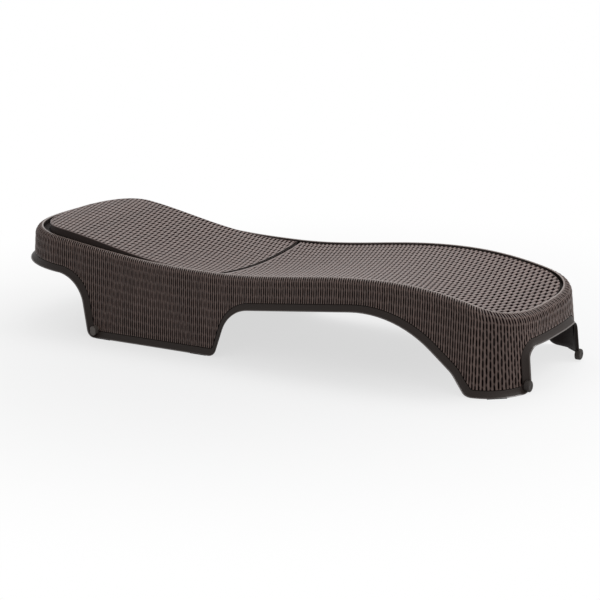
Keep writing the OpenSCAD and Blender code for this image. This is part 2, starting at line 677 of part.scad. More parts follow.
// Screws that hold the beams and the deck to the ledge from below
ledge_mid = rim_half - (ledge_in + rim_wall)/2;
beam_screw_off = 8;
beam_screw_len = 11;
module beam_screws() color("#8f9194")
    for (x = [beam_seam_x, beam_seat_x, beam_crest_x, beam_foot_x, beam_mid_x, beam_head_x], side = [-1, 1]) {
        deep = x < seam_x;
        off = deep ? beam_flange/2*abs(tan(rim_slope(x))) : 0;
        translate([x, side*ledge_mid, rim_z(x)]) rotate([0, deep ? 0 : -rim_slope(x), 0])
            translate([beam_screw_off, 0, beam_top - pad_t - off]) rotate([180, 0, 0])
            screw(beam_screw_len - (deep ? ledge_t : 0));
    }
deck_screw_shares = [-0.03, 0.105, 0.313, 0.543, 0.752];
deck_screw_xs = [for (share = deck_screw_shares) share*half_len];
deck_screw_out = 4;
deck_screw_len = 9;
module deck_screws() color("#8f9194") for (x = deck_screw_xs, side = [-1, 1])
    translate([x, side*(ledge_mid + deck_screw_out), rim_z(x)]) rotate([0, -rim_slope(x), 0])
    translate([0, 0, -ledge_under]) rotate([180, 0, 0]) screw(deck_screw_len);

// Glides under the legs and pegs at the head legs
glide_len = 60;
glide_w = 8;
glide_half_share = 0.93;
function lip_mid(x) = skirt_out(leg_floor, rim_z(x)) + lip_flare - glide_w/2;
glide_side_xs = [leg_a + leg_corner + glide_len/2, leg_b - leg_corner - glide_len/2];
glide_foot_at = foot_at(-glide_half_share*rim_half);
module glide() translate([-glide_len/2, -glide_w/2, 0]) cube([glide_len, glide_w, leg_floor - eps]);
module glides() color("#141313") for (side = [-1, 1]) on_side(side) {
    for (x = glide_side_xs) translate([x, -rim_half - lip_mid(x), 0]) glide();
    translate([glide_foot_at[0][0], glide_foot_at[0][1], 0])
        rotate([0, 0, atan2(glide_foot_at[1][1], glide_foot_at[1][0]) + 90])
        translate([0, -lip_mid(glide_foot_at[0][0]), 0]) glide();
}
peg_in = 21;
peg_x = leg_a + peg_in;
peg_z = 24;
peg_r = 11;
peg_tall = 31;
peg_out = 3;
peg_face = width/2 + peg_out;
peg_sunk = 1;
peg_root = rim_half + skirt_out(peg_z, rim_z(peg_x)) - peg_sunk;
module side_pegs() color("#3b2a26") for (side = [-1, 1]) on_side(side)
    translate([peg_x, 0, peg_z]) {
        for (end = [-1, 1]) translate([0, 0, end*(peg_tall/2 - peg_r)]) rod_y(peg_r, -peg_face, -peg_root);
        block(-peg_r, peg_r, -peg_face, -peg_root, peg_r - peg_tall/2, peg_tall/2 - peg_r);
    }

body_shell();
seat_deck();
back_panel();
knuckle_near();
knuckle_far();
hinge_pin_near();
hinge_pin_far();
bearing_near();
bearing_far();
bearing_screws();
knuckle_screws();
beam_seam();
beam_seat();
beam_crest();
beam_foot();
beam_head();
beam_mid();
bumpers();
prop_frame();
prop_lug_near();
prop_lug_far();
prop_pins();
lug_screws();
rack_near();
rack_far();
rack_screws();
beam_screws();
deck_screws();
glides();
side_pegs();
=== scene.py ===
"""Looks of the low wave-shaped lounger: moulded weave, rims, lips, materials, light and camera."""
import math

import bpy
import numpy as np
from mathutils import Matrix, Vector


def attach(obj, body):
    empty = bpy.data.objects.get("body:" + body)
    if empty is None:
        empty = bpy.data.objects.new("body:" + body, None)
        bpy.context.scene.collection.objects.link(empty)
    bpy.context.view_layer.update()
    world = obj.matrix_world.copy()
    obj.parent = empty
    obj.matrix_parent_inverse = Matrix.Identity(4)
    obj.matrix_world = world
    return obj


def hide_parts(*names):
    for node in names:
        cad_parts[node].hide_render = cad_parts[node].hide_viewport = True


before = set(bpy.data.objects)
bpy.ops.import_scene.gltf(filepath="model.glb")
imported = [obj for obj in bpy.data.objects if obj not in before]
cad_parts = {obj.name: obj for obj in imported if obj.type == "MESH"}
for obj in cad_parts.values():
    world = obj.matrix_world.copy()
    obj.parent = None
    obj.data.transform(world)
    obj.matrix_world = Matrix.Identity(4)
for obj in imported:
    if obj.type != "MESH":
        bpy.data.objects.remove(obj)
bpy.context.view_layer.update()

# Driving sizes of the lounger in millimetres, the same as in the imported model
MM = 0.001
LENGTH, WIDTH = 1914, 632
HEAD_RIM_Z, HOLLOW_RIM_Z, CREST_RIM_Z, FOOT_RIM_Z = 336, 262, 306, 231
HOLLOW_SHARE, CREST_SHARE = -0.118, 0.514
HEAD_BEND, HEAD_SWEEP, FOOT_BEND = 1.26, 80.2, 2.13
WALL, SHOULDER_OUT, SHOULDER_DROP, DRAFT = 4, 25.6, 32, 0.085
LIP_BAND, LIP_FLARE = 22, 13
HEAD_ROUND, FOOT_ROUND, HEAD_POWER, FOOT_POWER = 202, 127, 2.41, 2.73
HEAD_LIP_Z, HEAD_LIP_SINK = 226, 23
HEAD_LEG_A, HEAD_LEG_B, FOOT_LEG_A = -0.618, -0.097, 0.833
ARCH_LOW_Z, ARCH_HIGH_Z, FOOT_LEG_W, END_ARCH_Z, LEG_CORNER = 156, 223, 95, 134, 30
HEAD_ARCH_Z, HEAD_ARCH_R, KNEE_R, CREST_R, SHIN_R, END_ARCH_R = 186, 118, 110, 380, 100, 34
LEG_LEAN_A, LEG_LEAN_B, SIDE_RISE_SHARE, SHIN_LEAN, SHIN_Z, TURN_IN = 39, 51, 0.581, 47, 66, 45
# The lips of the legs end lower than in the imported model, so that no light shows beside the glides
LEG_FLOOR = 0.5
RIM_WALL, LEDGE_IN, LEDGE_DROP, LEDGE_T = 3, 22, 16, 4
DECK_INSET, SHEET, DISH, DECK_DISH_END = 5.5, 4, 20, 8
DECK_GAP, FOOT_GROOVE, SEAM_X, SEAM_GAP = 3, 11, -113, 8.5
BACK_TOP_Z, BACK_GAP, BACK_END_GAP, BACK_ROUND, BACK_POWER, BACK_BEND = 351, 3.8, 49, 140, 2.4, 1.18
RIB_DEEP, RIB_T, FLANGE_T, DECK_SEAT_GAP, BACK_REST_GAP, BACK_FLANGE_END = 14, 4, 4, 0.8, 9, 6.5
RIB_SHARES = (-0.72, -0.36, 0.0, 0.36, 0.72)

HALF_LEN = LENGTH / 2
REACH = HALF_LEN - SHOULDER_OUT - LIP_FLARE - DRAFT * (FOOT_RIM_Z - SHOULDER_DROP - END_ARCH_Z)
RIM_HALF = WIDTH / 2 - SHOULDER_OUT - LIP_FLARE - DRAFT * (HOLLOW_RIM_Z - SHOULDER_DROP)
HOLLOW_X, CREST_X = HOLLOW_SHARE * HALF_LEN, CREST_SHARE * HALF_LEN
HEAD_X1, FOOT_X0 = HEAD_ROUND - REACH, REACH - FOOT_ROUND
END_ARCH_HALF = RIM_HALF - FOOT_LEG_W
DECK_HALF = RIM_HALF - RIM_WALL - DECK_GAP
BACK_HALF, BACK_REACH = RIM_HALF - RIM_WALL - BACK_GAP, REACH - BACK_END_GAP
DECK_REACH = REACH - FOOT_GROOVE
DECK_START, BACK_END = SEAM_X + SEAM_GAP / 2, SEAM_X - SEAM_GAP / 2

# Samples of each quarter turn and straight of the rim in plan
PLAN_STEPS = 400
QUARTER_TURN = np.linspace(0, math.pi / 2, PLAN_STEPS)
# Share of even spacing in the rim points of the stations along the side and along the foot end
SIDE_EVEN, END_EVEN = 0.06, 0.15

# Moulded weave: strands of one pitch that dip under in turn, row by row
STRAND, PANEL_STRAND, CROWN = 8.0, 7.75, 1.25
ROW, SHOULDER_ROW, ROW_SAMPLES = 28.0, 21.4, 8
SKIRT_SAMPLES = (-0.5, -0.38, -0.23, 0.0, 0.23, 0.38)
PANEL_SAMPLES = (-0.5, -0.37, -0.15, 0.15, 0.37)
# Past this place across a strand lies the line that it shares with its neighbour
SHARED_LINE = 0.49

# Skin of the skirt: how far its strands dip under, and the slits between them
LIFT, SLIT_DEEP = 0.9, 2.4
SLIT_FROM, SLIT_RAMP = 0.18, 0.2
SLIT_LEAST, SLIT_LESS = 0.34, 0.5
SLIT_GAIN, SLIT_CUT, SLIT_UNLIKE = 1.5, 0.3, 0.16
SLIT_JITTER, SLIT_TONES = 0.11, (0.75, 1.15)
SLIT_GAPS, SLIT_ROWS = 1200, 24
# Weights of the painted shade on the strands' flanks, where they pass under, and in the slits
FLANK_PAINTED_SHADE, UNDER_PAINTED_SHADE, SLIT_PAINTED_SHADE = 0.26, 0.14, 0.7
# Its upper edge below the rim, the row that ends the shoulder, and the flatter strip over the lip band
SKIN_TOP, SHOULDER_ROWS = 2.4, 1.5
SKIN_END, SKIN_END_LEAST = 5, 0.35
# The strands lean on the shoulder, and lie wider and in zigzag round the foot end
SLANT, SLANT_POWER, PITCH_OUT = 9.0, 1.3, 24
FOOT_FADE, FOOT_SPREAD, FOOT_STAGGER = 60, 0.3, 0.5

# Weave of the panels: the slots between its strands, and its distance from the panel's edge
SLOT_DEEP, DIP_POWER, WEAVE_MARGIN, SLOPE_STEP = 2.7, 2.2, 3.2, 1.0
# Screw ends under the panels: the slots over them stay shallow, so that they don't show
SCREW_TIPS = [(-419, 152), (-389, 152), (-154, 214), (-135, 214), (-28, 249), (102, 249)]
TIP_REACH, TIP_COVER = 5, 1.6

# Wall of the body: bead on the rim, outer face under the weave, groove and flare of the lip
RIM_BEAD = ((-3.0, -2.4), (-2.9, -0.9), (-2.2, -0.15), (-1.0, 0.0),
            (1.0, -0.02), (2.0, -0.3), (2.5, -1.1), (2.5, -2.4))
RECESS, HIDDEN_TOP, HIDDEN_FROM, HIDDEN_STEPS = 3.6, 2.4, 0.12, 6
LIP_GROOVE, LIP_POWER = 2.2, 2.3
LIP_SHARES, LIP_INNER_SHARES = (0.25, 0.45, 0.6, 0.75, 0.88, 0.95), (0.8, 0.5, 0.25)
# Rows of distance in from the lip's edge and offset from its flare, and under the shoulder rows of
# offset and share of the shoulder's drop
LIP_TIP = ((0.35, -0.4), (0, -1.2), (0, 1 - WALL), (0.4, -WALL))
UNDER_SHOULDER = ((SHOULDER_OUT - WALL - 1, 1), (SHOULDER_OUT * 0.6 - 1, 0.46),
                  (SHOULDER_OUT * 0.2, 0.25), (-0.5, 0.25))

# Panels: the underside of the sheet, the rounded border, and the border's strip at the seam
UNDERSIDE = SHEET + 0.4
BORDER_TOP = [(0, -2.6), (-0.5, -1.1), (-1.5, -0.3), (-2.6, -0.1), (-3.6, -0.6), (-4.0, -1.6)]
BORDER_IN, MITER_LEAST = -4.0, 0.6
SEAM_EDGE, SEAM_SUNK, SEAM_STEPS, PANEL_TURN_STEPS = 4.8, 1.6, 52, 40
BASE_MARGIN, BASE_RUNS, BASE_TURNS, BASE_TURN_END, BASE_ACROSS = 1.0, 60, 24, 83, 24
RIB_RUN_OUT, RIB_CLEAR = 1.2, 2

# Round toes on the end faces of the foot legs: place, radius, and rows of x and share of the radius
TOE_X0, TOE_X1, TOE_Y, TOE_Z, TOE_R, TOE_STEPS = 936.0, 952.0, 187.0, 20.5, 17.5, 40
TOE_ROUNDS = [(TOE_X0, 0.9), (TOE_X0, 1.0), (TOE_X1 - 3.5, 1.0), (TOE_X1 - 1.2, 0.94),
              (TOE_X1, 0.82), (TOE_X1, 0.5), (TOE_X1 - 0.8, 0.3)]


def rim_z(x):
    """Height of the rim line at x."""
    x = np.asarray(x, float)
    head = np.clip((HOLLOW_X - x) / (HOLLOW_X + REACH), 0, 1)
    seat = np.clip((x - HOLLOW_X) / (CREST_X - HOLLOW_X), 0, 1)
    foot = np.clip((x - CREST_X) / (REACH - CREST_X), 0, 1)
    rise = (HEAD_RIM_Z - HOLLOW_RIM_Z) * np.sin(np.radians(HEAD_SWEEP * head ** HEAD_BEND)) ** 2
    swell = (CREST_RIM_Z - HOLLOW_RIM_Z) * np.sin(np.radians(90 * seat)) ** 2
    fall = (CREST_RIM_Z - FOOT_RIM_Z) * foot ** FOOT_BEND
    return HOLLOW_RIM_Z + rise + swell - fall


def round_end(f, deep, half, power):
    """Point and outward normal of a rounded end; f is 0 at the apex and pi/2 at the side."""
    c, s = np.cos(f), np.sin(f)
    c, s = np.clip(c, 0, 1), np.clip(s, 0, 1)
    point = np.stack([deep * (1 - c ** (2 / power)), half * s ** (2 / power)], -1)
    normal = np.stack([c ** (2 - 2 / power) / deep, s ** (2 - 2 / power) / half], -1)
    return point, normal / np.linalg.norm(normal, axis=-1, keepdims=True)


def head_turn(f):
    """The rim round the head end, in plan."""
    point, normal = round_end(f, HEAD_ROUND, RIM_HALF, HEAD_POWER)
    return point * [1, -1] - [REACH, 0], normal * [-1, -1]


def foot_turn(f):
    """The rim round the foot end, in plan."""
    point, normal = round_end(f, FOOT_ROUND, RIM_HALF, FOOT_POWER)
    return point * [-1, -1] + [REACH, 0], normal * [1, -1]


def rim_plan():
    """Near half of the rim in plan, head apex to foot apex: arc length, points and normals."""
    x = np.linspace(HEAD_X1, FOOT_X0, PLAN_STEPS)[1:-1]
    straight = np.stack([x, np.full_like(x, -RIM_HALF)], -1)
    head, head_n = head_turn(QUARTER_TURN)
    foot, foot_n = foot_turn(QUARTER_TURN[::-1])
    points = np.concatenate([head, straight, foot])
    normals = np.concatenate([head_n, np.tile([0.0, -1.0], (len(x), 1)), foot_n])
    steps = np.linalg.norm(np.diff(points, axis=0), axis=1)
    return np.concatenate([[0], np.cumsum(steps)]), points, normals


PLAN_S, PLAN_P, PLAN_N = rim_plan()
HALF_RING = PLAN_S[-1]


def plan_at(s):
    """Point and normal of the whole rim ring at arc length s, near side first."""
    s = np.mod(s, 2 * HALF_RING)
    t = np.where(s < HALF_RING, s, 2 * HALF_RING - s)
    side = np.where(s < HALF_RING, 1.0, -1.0)
    point = np.stack([np.interp(t, PLAN_S, PLAN_P[:, 0]), side * np.interp(t, PLAN_S, PLAN_P[:, 1])], -1)
    normal = np.stack([np.interp(t, PLAN_S, PLAN_N[:, 0]), side * np.interp(t, PLAN_S, PLAN_N[:, 1])], -1)
    return point, normal / np.linalg.norm(normal, axis=-1, keepdims=True)


def side_s(x):
    """Arc length of the near side point at x, up to the foot corner."""
    x = np.asarray(x, float)
    f = np.arccos(np.clip((x - FOOT_X0) / FOOT_ROUND, 0, 1) ** (FOOT_POWER / 2))
    turn_s = np.interp(f, QUARTER_TURN, PLAN_S[-PLAN_STEPS:][::-1])
    straight_s = PLAN_S[PLAN_STEPS - 1] + (x - HEAD_X1)
    return np.where(x <= FOOT_X0, straight_s, turn_s)


def end_s(y):
    """Arc length of the foot end point at y, near side of the apex."""
    f = np.arcsin(np.clip(np.abs(y) / RIM_HALF, 0, 1) ** (FOOT_POWER / 2))
    return np.interp(f, QUARTER_TURN, PLAN_S[-PLAN_STEPS:][::-1])


def rounded_path(corners, steps, longest):
    """Straight runs with rounded corners, as rows of a, z and direction."""
    def heading(p, q):
        return math.atan2(q[1] - p[1], q[0] - p[0])

    stops = [[(corners[0][0], corners[0][1], heading(corners[0], corners[1]))]]
    for p, v, q in zip(corners, corners[1:], corners[2:]):
        a1, a2 = heading(p, v), heading(v, q)
        turn, radius = math.copysign(1, a2 - a1), v[2]
        back = radius * math.tan(abs(a2 - a1) / 2)
        start = (v[0] - back * math.cos(a1), v[1] - back * math.sin(a1))
        centre = (start[0] - turn * radius * math.sin(a1), start[1] + turn * radius * math.cos(a1))
        angles = [a1 + (a2 - a1) * k / steps for k in range(steps + 1)]
        stops.append([(centre[0] + turn * radius * math.sin(a), centre[1] - turn * radius * math.cos(a), a)
                      for a in angles])
    last = corners[-1]
    stops.append([(last[0], last[1], heading(corners[-2], last))])
    path = []
    for here, after in zip(stops, stops[1:] + [None]):
        path += here
        if after:
            (x0, z0, _), (x1, z1, _) = here[-1], after[0]
            count = max(1, math.ceil(math.hypot(x1 - x0, z1 - z0) / longest))
            angle = math.atan2(z1 - z0, x1 - x0)
            path += [(x0 + (x1 - x0) * k / count, z0 + (z1 - z0) * k / count, angle) for k in range(1, count)]
    return np.array(path)


LEG_A, LEG_B, LEG_C = (share * HALF_LEN for share in (HEAD_LEG_A, HEAD_LEG_B, FOOT_LEG_A))
SIDE_CORNERS = [
    (HEAD_X1, HEAD_LIP_Z - HEAD_LIP_SINK),
    (LEG_A - LEG_LEAN_A, HEAD_ARCH_Z, HEAD_ARCH_R),
    (LEG_A, LEG_FLOOR, LEG_CORNER),
    (LEG_B, LEG_FLOOR, LEG_CORNER),
    (LEG_B + LEG_LEAN_B, ARCH_LOW_Z, KNEE_R),
    (SIDE_RISE_SHARE * HALF_LEN, ARCH_HIGH_Z, CREST_R),
    (LEG_C - SHIN_LEAN, SHIN_Z, SHIN_R),
    (LEG_C, LEG_FLOOR, LEG_CORNER),
    (FOOT_X0 + TURN_IN, LEG_FLOOR)]
END_CORNERS = [
    (-END_ARCH_HALF - 1.5 * LEG_CORNER, LEG_FLOOR),
    (-END_ARCH_HALF, LEG_FLOOR, LEG_CORNER),
    (-END_ARCH_HALF, END_ARCH_Z, END_ARCH_R),
    (0, END_ARCH_Z)]


def edge_stations(steps, longest, head_steps, corner_steps):
    """Lower edge of the near half: for each station a function of the distance t in from
    the edge that gives arc length and height, and the arc length where its wall meets the rim."""
    def level(s, z):
        return lambda t: (s, z + t)

    def on_side(p):
        return lambda t: (float(side_s(p[0] - t * math.sin(p[2]))), p[1] + t * math.cos(p[2]))

    def on_end(p):
        return lambda t: (float(end_s(min(0, p[0] - t * math.sin(p[2])))), p[1] + t * math.cos(p[2]))

    stations = []
    for k in range(head_steps):
        s = float(np.interp(math.pi / 2 * k / head_steps, QUARTER_TURN, PLAN_S[:PLAN_STEPS]))
        stations.append((level(s, HEAD_LIP_Z - HEAD_LIP_SINK * (k / head_steps) ** 2), s))
    side = rounded_path(SIDE_CORNERS, steps, longest)
    for i, p in enumerate(side):
        even = HEAD_X1 + (FOOT_X0 + TURN_IN - HEAD_X1) * i / (len(side) - 1)
        stations.append((on_side(p), float(side_s((1 - SIDE_EVEN) * p[0] + SIDE_EVEN * even))))
    start, stop = float(side_s(FOOT_X0 + TURN_IN)), float(end_s(END_CORNERS[0][0]))
    for k in range(1, corner_steps):
        s = start + (stop - start) * k / corner_steps
        stations.append((level(s, LEG_FLOOR), s))
    end = rounded_path(END_CORNERS, steps, longest)
    for i, p in enumerate(end):
        even = END_CORNERS[0][0] * (1 - i / (len(end) - 1))
        stations.append((on_end(p), float(end_s(min(0, (1 - END_EVEN) * p[0] + END_EVEN * even)))))
    return stations


EDGE = edge_stations(steps=12, longest=14, head_steps=40, corner_steps=22)


def band_line():
    """Arc length and height of the upper edge of the lip band along the near half."""
    rows = np.array([at(LIP_BAND) for at, _ in EDGE])
    s = np.maximum.accumulate(rows[:, 0] + 1e-4 * np.arange(len(rows)))
    return s, rows[:, 1]


BAND_S, BAND_Z = band_line()


def band_z(s):
    """Height of the upper edge of the lip band at arc length s."""
    s = np.mod(s, 2 * HALF_RING)
    return np.interp(np.where(s < HALF_RING, s, 2 * HALF_RING - s), BAND_S, BAND_Z)


# Depth along the outside, from the rim edge over the shoulder and down the skirt
SHOULDER_PHI = np.linspace(0, math.pi / 2, 200)
SHOULDER_ARC = np.concatenate([[0], np.cumsum(np.hypot(
    np.diff(SHOULDER_OUT * np.sin(SHOULDER_PHI)), np.diff(SHOULDER_DROP * np.cos(SHOULDER_PHI))))])
SHOULDER_LEN = SHOULDER_ARC[-1]


def outside(d):
    """Offset, drop and the two parts of the normal at depth d below the rim edge."""
    phi = np.interp(d, SHOULDER_ARC, SHOULDER_PHI)
    below = np.maximum(0, d - SHOULDER_LEN)
    offset = SHOULDER_OUT * np.sin(phi) + DRAFT * below
    drop = SHOULDER_DROP * (1 - np.cos(phi)) + below
    n_out, n_up = SHOULDER_DROP * np.sin(phi), SHOULDER_OUT * np.cos(phi)
    size = np.hypot(n_out, n_up)
    return offset, drop, n_out / size, n_up / size


strand_random = np.random.default_rng(7)
SLIT_SHIFT = strand_random.uniform(-SLIT_JITTER, SLIT_JITTER, SLIT_GAPS)
SLIT_TONE = strand_random.uniform(*SLIT_TONES, (SLIT_GAPS, SLIT_ROWS))


def crown_drop(across):
    """How far the round back of a strand lies below its crown."""
    return CROWN * (1 - np.sqrt(np.clip(1 - (2 * across) ** 2, 0, 1)))


def skirt_height(strand, across, row, stagger):
    """Height of the fine skirt weave, and how much painted shade each point gets on the strands' flanks,
    where they pass under, and in the slits between them.
    """
    border = np.clip((np.abs(across) - SLIT_FROM) / SLIT_RAMP, 0, 1)
    gap = (strand + (across > 0)).astype(int) % RING_STRANDS
    zigzag = np.where(gap % 2 == 0, stagger, 0) * np.clip(row - SHOULDER_ROWS, 0, 1)
    shifted = row + SLIT_SHIFT[gap] + zigzag
    whole = np.round(shifted).astype(int)
    in_turn = 1 - SLIT_UNLIKE + SLIT_UNLIKE * np.cos(np.pi * (whole + gap))
    strength = SLIT_TONE[gap, whole % SLIT_ROWS] * in_turn
    least = SLIT_LEAST - SLIT_LESS * stagger
    opening = np.clip(SLIT_GAIN * np.abs(np.cos(np.pi * shifted)) - SLIT_CUT, 0, 1)
    slit = border * strength * (least + (1 - least) * opening)
    under = np.where(np.abs(across) > SHARED_LINE, 0.5, (1 - np.cos(np.pi * (row + strand))) / 2)
    # Painted shade: darker on the strands' flanks, where they pass under, and in the slits
    deep = np.clip(FLANK_PAINTED_SHADE * border + UNDER_PAINTED_SHADE * under + SLIT_PAINTED_SHADE * slit, 0, 1)
    return -crown_drop(across) - LIFT * under - SLIT_DEEP * slit, deep


def weave_height(strand, across, row):
    """Height of a strand below its crown: it dips under at whole rows, in turn with its neighbours."""
    def dip(index):
        lift = np.cos(np.pi * (row + index))
        return 1 - ((1 - lift) / 2) ** DIP_POWER

    own = SLOT_DEEP * (1 - dip(strand))
    shared = SLOT_DEEP * (1 - np.maximum(dip(strand), dip(strand - 1)))
    return -np.where(np.abs(across) > SHARED_LINE, shared, own) - crown_drop(across)


def clipped_grid(levels, low, high):
    """Rows at the levels between low and high for each column: values and shared vertex indices."""
    values = np.clip(levels[:, None], low[None, :], high[None, :])
    keep = np.ones(values.shape, bool)
    keep[1:] = values[1:] > values[:-1] + 1e-6
    index = np.cumsum(keep.ravel(order="F")).reshape(values.shape, order="F") - 1
    return values, index, keep


def grid_faces(index):
    """Quads and triangles of a grid whose repeated vertices are shared."""
    a, b, c, d = index[:-1, :-1], index[1:, :-1], index[1:, 1:], index[:-1, 1:]
    faces = []
    for quad in np.stack([a.ravel(), b.ravel(), c.ravel(), d.ravel()], -1).tolist():
        face = [v for v, after in zip(quad, quad[1:] + quad[:1]) if v != after]
        if len(face) > 2:
            faces.append(face)
    return faces


def new_mesh(name, points, faces, sharp=35, body="base"):
    """A smooth mesh object from points in millimetres, with edges kept sharp past an angle."""
    mesh = bpy.data.meshes.new(name)
    mesh.from_pydata((np.asarray(points) * MM).tolist(), [], [list(f) for f in faces])
    mesh.polygons.foreach_set("use_smooth", [True] * len(mesh.polygons))
    if sharp:
        mesh.set_sharp_from_angle(angle=math.radians(sharp))
    mesh.update()
    obj = bpy.data.objects.new(name, mesh)
    bpy.context.scene.collection.objects.link(obj)
    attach(obj, body)
    return obj


def put_values(obj, name, values):
    """Stores one value for each vertex, for a material to read."""
    attribute = obj.data.attributes.new(name, "FLOAT", "POINT")
    attribute.data.foreach_set("value", np.asarray(values, np.float32))


def put_cells(obj, u, v):
    """A map of the strands for the grain: u runs across them and v along them."""
    layer = obj.data.uv_layers.new(name="strands")
    corner = np.empty(len(obj.data.loops), np.int32)
    obj.data.loops.foreach_get("vertex_index", corner)
    layer.data.foreach_set("uv", np.stack([u[corner], v[corner]], -1).astype(np.float32).ravel())


def woven_mesh(name, points, keep, index, deep, tones, u, row, body="base"):
    """Mesh of a weave from a grid of points, with the values that its material reads."""
    flat = keep.ravel(order="F")
    verts = points.transpose(1, 0, 2).reshape(-1, 3)[flat]
    obj = new_mesh(name, verts, grid_faces(index), sharp=0, body=body)
    # The value deep tells the material how much painted shade each point gets
    put_values(obj, "deep", deep.T.ravel()[flat])
    put_values(obj, "tone", np.repeat(tones, len(keep))[flat])
    put_cells(obj, np.repeat(u, len(keep))[flat], row.T.ravel()[flat])
    return obj


def strand_samples(first, count, samples):
    """Strand number and place across it for each column of samples."""
    strand = np.repeat(np.arange(first, first + count), len(samples))
    across = np.tile(samples, count)
    return np.append(strand, first + count), np.append(across, samples[0])


# The skirt's strands have one pitch a little outside the rim, and a wider one round the foot end
OUT_STEP = np.linalg.norm(np.diff(PLAN_P + PITCH_OUT * PLAN_N, axis=0), axis=1)
OUT_STEP /= 1 + FOOT_SPREAD * np.clip((PLAN_P[1:, 0] - FOOT_X0) / FOOT_FADE, 0, 1)
OUT_S = np.concatenate([[0], np.cumsum(OUT_STEP)])
RING_STRANDS = 2 * round(OUT_S[-1] / STRAND)
PITCH = 2 * OUT_S[-1] / RING_STRANDS


def ring_s(t):
    """Arc length along the rim of the point at t along the outer ring, near side first."""
    near = np.interp(t, OUT_S, PLAN_S)
    far = 2 * HALF_RING - np.interp(2 * OUT_S[-1] - t, OUT_S, PLAN_S)
    return np.where(t < OUT_S[-1], near, far)


STRAND_TONES = strand_random.uniform(0, 1, RING_STRANDS + 1)


def rows_down(d):
    """Row number at depth d: slots lie at whole numbers, the first row high on the shoulder."""
    shoulder = (d - SHOULDER_LEN) / SHOULDER_ROW + SHOULDER_ROWS
    skirt = (d - SHOULDER_LEN) / ROW + SHOULDER_ROWS
    return np.where(d < SHOULDER_LEN, shoulder, skirt)


def skirt_weave(name, first, count):
    """Woven skin of part of the skirt, from under the rim down to the lip band."""
    strand, across = strand_samples(first, count, SKIRT_SAMPLES)
    s0 = ring_s((strand + 0.5 + across) * PITCH)
    point, _ = plan_at(s0)
    top = rim_z(point[:, 0])
    deepest = SHOULDER_LEN + np.maximum(0, top - SHOULDER_DROP - band_z(s0))
    shoulder_levels = np.linspace(SKIN_TOP, SHOULDER_LEN, 2 * ROW_SAMPLES + 1)[:-1]
    skirt_levels = np.arange(SHOULDER_LEN, deepest.max() + ROW / ROW_SAMPLES, ROW / ROW_SAMPLES)
    levels = np.concatenate([shoulder_levels, skirt_levels])
    d, index, keep = clipped_grid(levels, np.full_like(deepest, levels[0]), deepest)
    shift = -SLANT * np.clip(1 - d / SHOULDER_LEN, 0, 1) ** SLANT_POWER
    p, n = plan_at(s0[None, :] + shift)
    top = rim_z(p[..., 0])
    offset, drop, n_out, n_up = outside(d)
    row = rows_down(d)
    stagger = FOOT_STAGGER * np.clip((point[:, 0] - FOOT_X0) / FOOT_FADE, 0, 1)
    height, deep = skirt_height(strand[None, :] + 0 * d, across[None, :] + 0 * d, row, stagger[None, :])
    above_end = np.clip((deepest[None, :] - d) / SKIN_END, 0, 1)
    height = height * (SKIN_END_LEAST + (1 - SKIN_END_LEAST) * above_end)
    o = offset + height * n_out
    points = np.stack([p[..., 0] + n[..., 0] * o, p[..., 1] + n[..., 1] * o, top - drop + height * n_up], -1)
    tones = STRAND_TONES[strand % RING_STRANDS]
    return woven_mesh(name, points, keep, index, deep, tones, strand + 0.5 + across, row)


def body_ring(at, rim_s):
    """One closed section of the body wall, as rows of x, y and z."""
    rim_p, rim_n = plan_at(np.array([rim_s]))
    rim_p, rim_n = rim_p[0], rim_n[0]
    top = float(rim_z(rim_p[0]))

    def out(p, n, o, z):
        return (p[0] + n[0] * o, p[1] + n[1] * o, z)

    def upper(o, z):
        return out(rim_p, rim_n, o, z)

    def edge(t, extra, inner=0.0):
        s, z = at(t)
        p, n = plan_at(np.array([s]))
        skirt = SHOULDER_OUT + DRAFT * max(0, top - SHOULDER_DROP - z)
        return out(p[0], n[0], skirt + extra - inner, z)

    def flared(q, inner=0.0):
        return edge(LIP_BAND * (1 - q), LIP_FLARE * q ** LIP_POWER - inner)

    rim = [upper(o, top + dz) for o, dz in RIM_BEAD]
    hidden_out, hidden_drop = SHOULDER_OUT - RECESS, SHOULDER_DROP - RECESS
    turns = np.linspace(HIDDEN_FROM, math.pi / 2, HIDDEN_STEPS)
    shoulder = [upper(max(HIDDEN_TOP, hidden_out * math.sin(a)),
                      top - RECESS - hidden_drop * (1 - math.cos(a))) for a in turns]
    groove = LIP_BAND - LIP_GROOVE
    flare = [edge(LIP_BAND + 0.4, 0, RECESS), edge(groove, 0, RECESS), edge(groove - 0.3, 0, 0.7),
             edge(groove - 1.1, 0)]
    flare += [flared(q) for q in LIP_SHARES]
    tip = [edge(t, LIP_FLARE + o) for t, o in LIP_TIP]
    inside = [flared(q, WALL) for q in LIP_INNER_SHARES] + [edge(LIP_BAND, -WALL)]
    inside += [upper(o, top - SHOULDER_DROP * share) for o, share in UNDER_SHOULDER]
    ledge = top - LEDGE_DROP
    inside += [upper(o, z) for o, z in ((-0.5, ledge - LEDGE_T), (-LEDGE_IN, ledge - LEDGE_T),
                                        (-LEDGE_IN, ledge), (-RIM_WALL, ledge))]
    return rim + shoulder + flare + tip + inside


def ring_faces(count, around, closed):
    """Quads between rings of points; closed joins the last ring to the first."""
    faces = []
    for i in range(count if closed else count - 1):
        for j in range(around):
            after, k = (i + 1) % count, (j + 1) % around
            faces.append((i * around + j, i * around + k, after * around + k, after * around + j))
    return faces


# Places round the profiles of the wall and the panel border: the rim bead and the lip's edge, lighter with a
# painted highlight, and the flange and the faces that lie in a recess or inside, darker with painted shade
WALL_AROUND, WALL_RIM, WALL_EDGE = 40, {*range(8)}, {22, 23, 24}
WALL_PAINTED_SHADE = {*range(8, 16), *range(27, 40)}
BORDER_AROUND, BORDER_FLANGE, BORDER_PAINTED_SHADE = 8, {0}, {6, 7}


